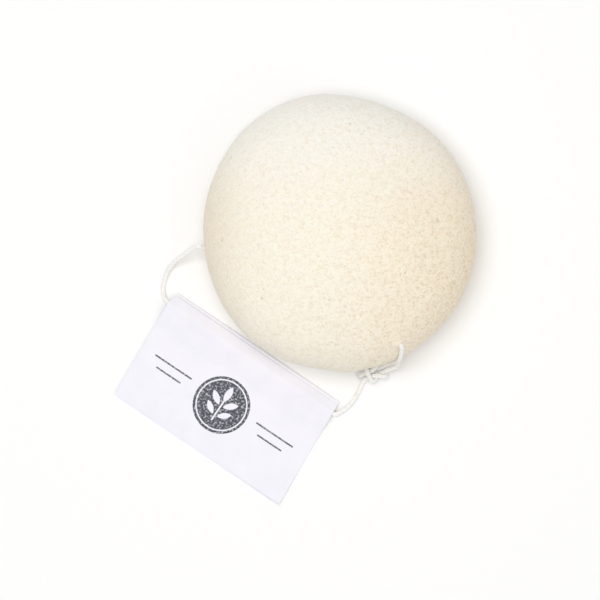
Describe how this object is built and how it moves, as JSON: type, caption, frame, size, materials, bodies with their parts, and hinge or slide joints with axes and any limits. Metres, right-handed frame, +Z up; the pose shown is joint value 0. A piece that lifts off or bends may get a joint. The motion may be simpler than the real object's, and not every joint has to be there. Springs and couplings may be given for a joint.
{
  "type": "konjac sponge",
  "caption": "Half-ball konjac face sponge with a cotton hanging string sewn through its flank, tied with a reef knot, and a folded card label on the string.",
  "frame": {"origin": "centre of the sponge's flat base, on the table it lies on", "axes": "+Z up through the crown, +X to the right and +Y to the top of the picture, which looks straight down; the label lies towards -X -Y"},
  "size_m": [0.1044, 0.1191, 0.038],
  "materials": {
    "konjac_foam": "matte",
    "cotton_string": "matte",
    "label_card": "matte",
    "label_glue": "satin"
  },
  "bodies": {
    "sponge": {"sponge_body": "konjac_foam", "string_through_sponge": "cotton_string"},
    "string_loop": {"string_left_run": "cotton_string", "string_through_tag": "cotton_string", "string_right_run": "cotton_string", "string_sponge_run": "cotton_string", "knot_tag_bight": "cotton_string", "knot_sponge_bight": "cotton_string"},
    "tag": {"folded_tag": "label_card", "tag_glue_strip": "label_glue"}
  },
  "joints": [
    {"name": "loop_lift", "type": "hinge", "parent": "sponge", "child": "string_loop", "pos_m": [-0.03979, -0.00362, 0.011], "axis": [-0.8796, 0.4283, -0.207], "range_deg": [0, 70]},
    {"name": "tag_swing", "type": "hinge", "parent": "string_loop", "child": "tag", "pos_m": [-0.04883, -0.02042, 0.00115], "axis": [-0.8296, 0.5583, 0], "range_deg": [0, 90]}
  ]
}
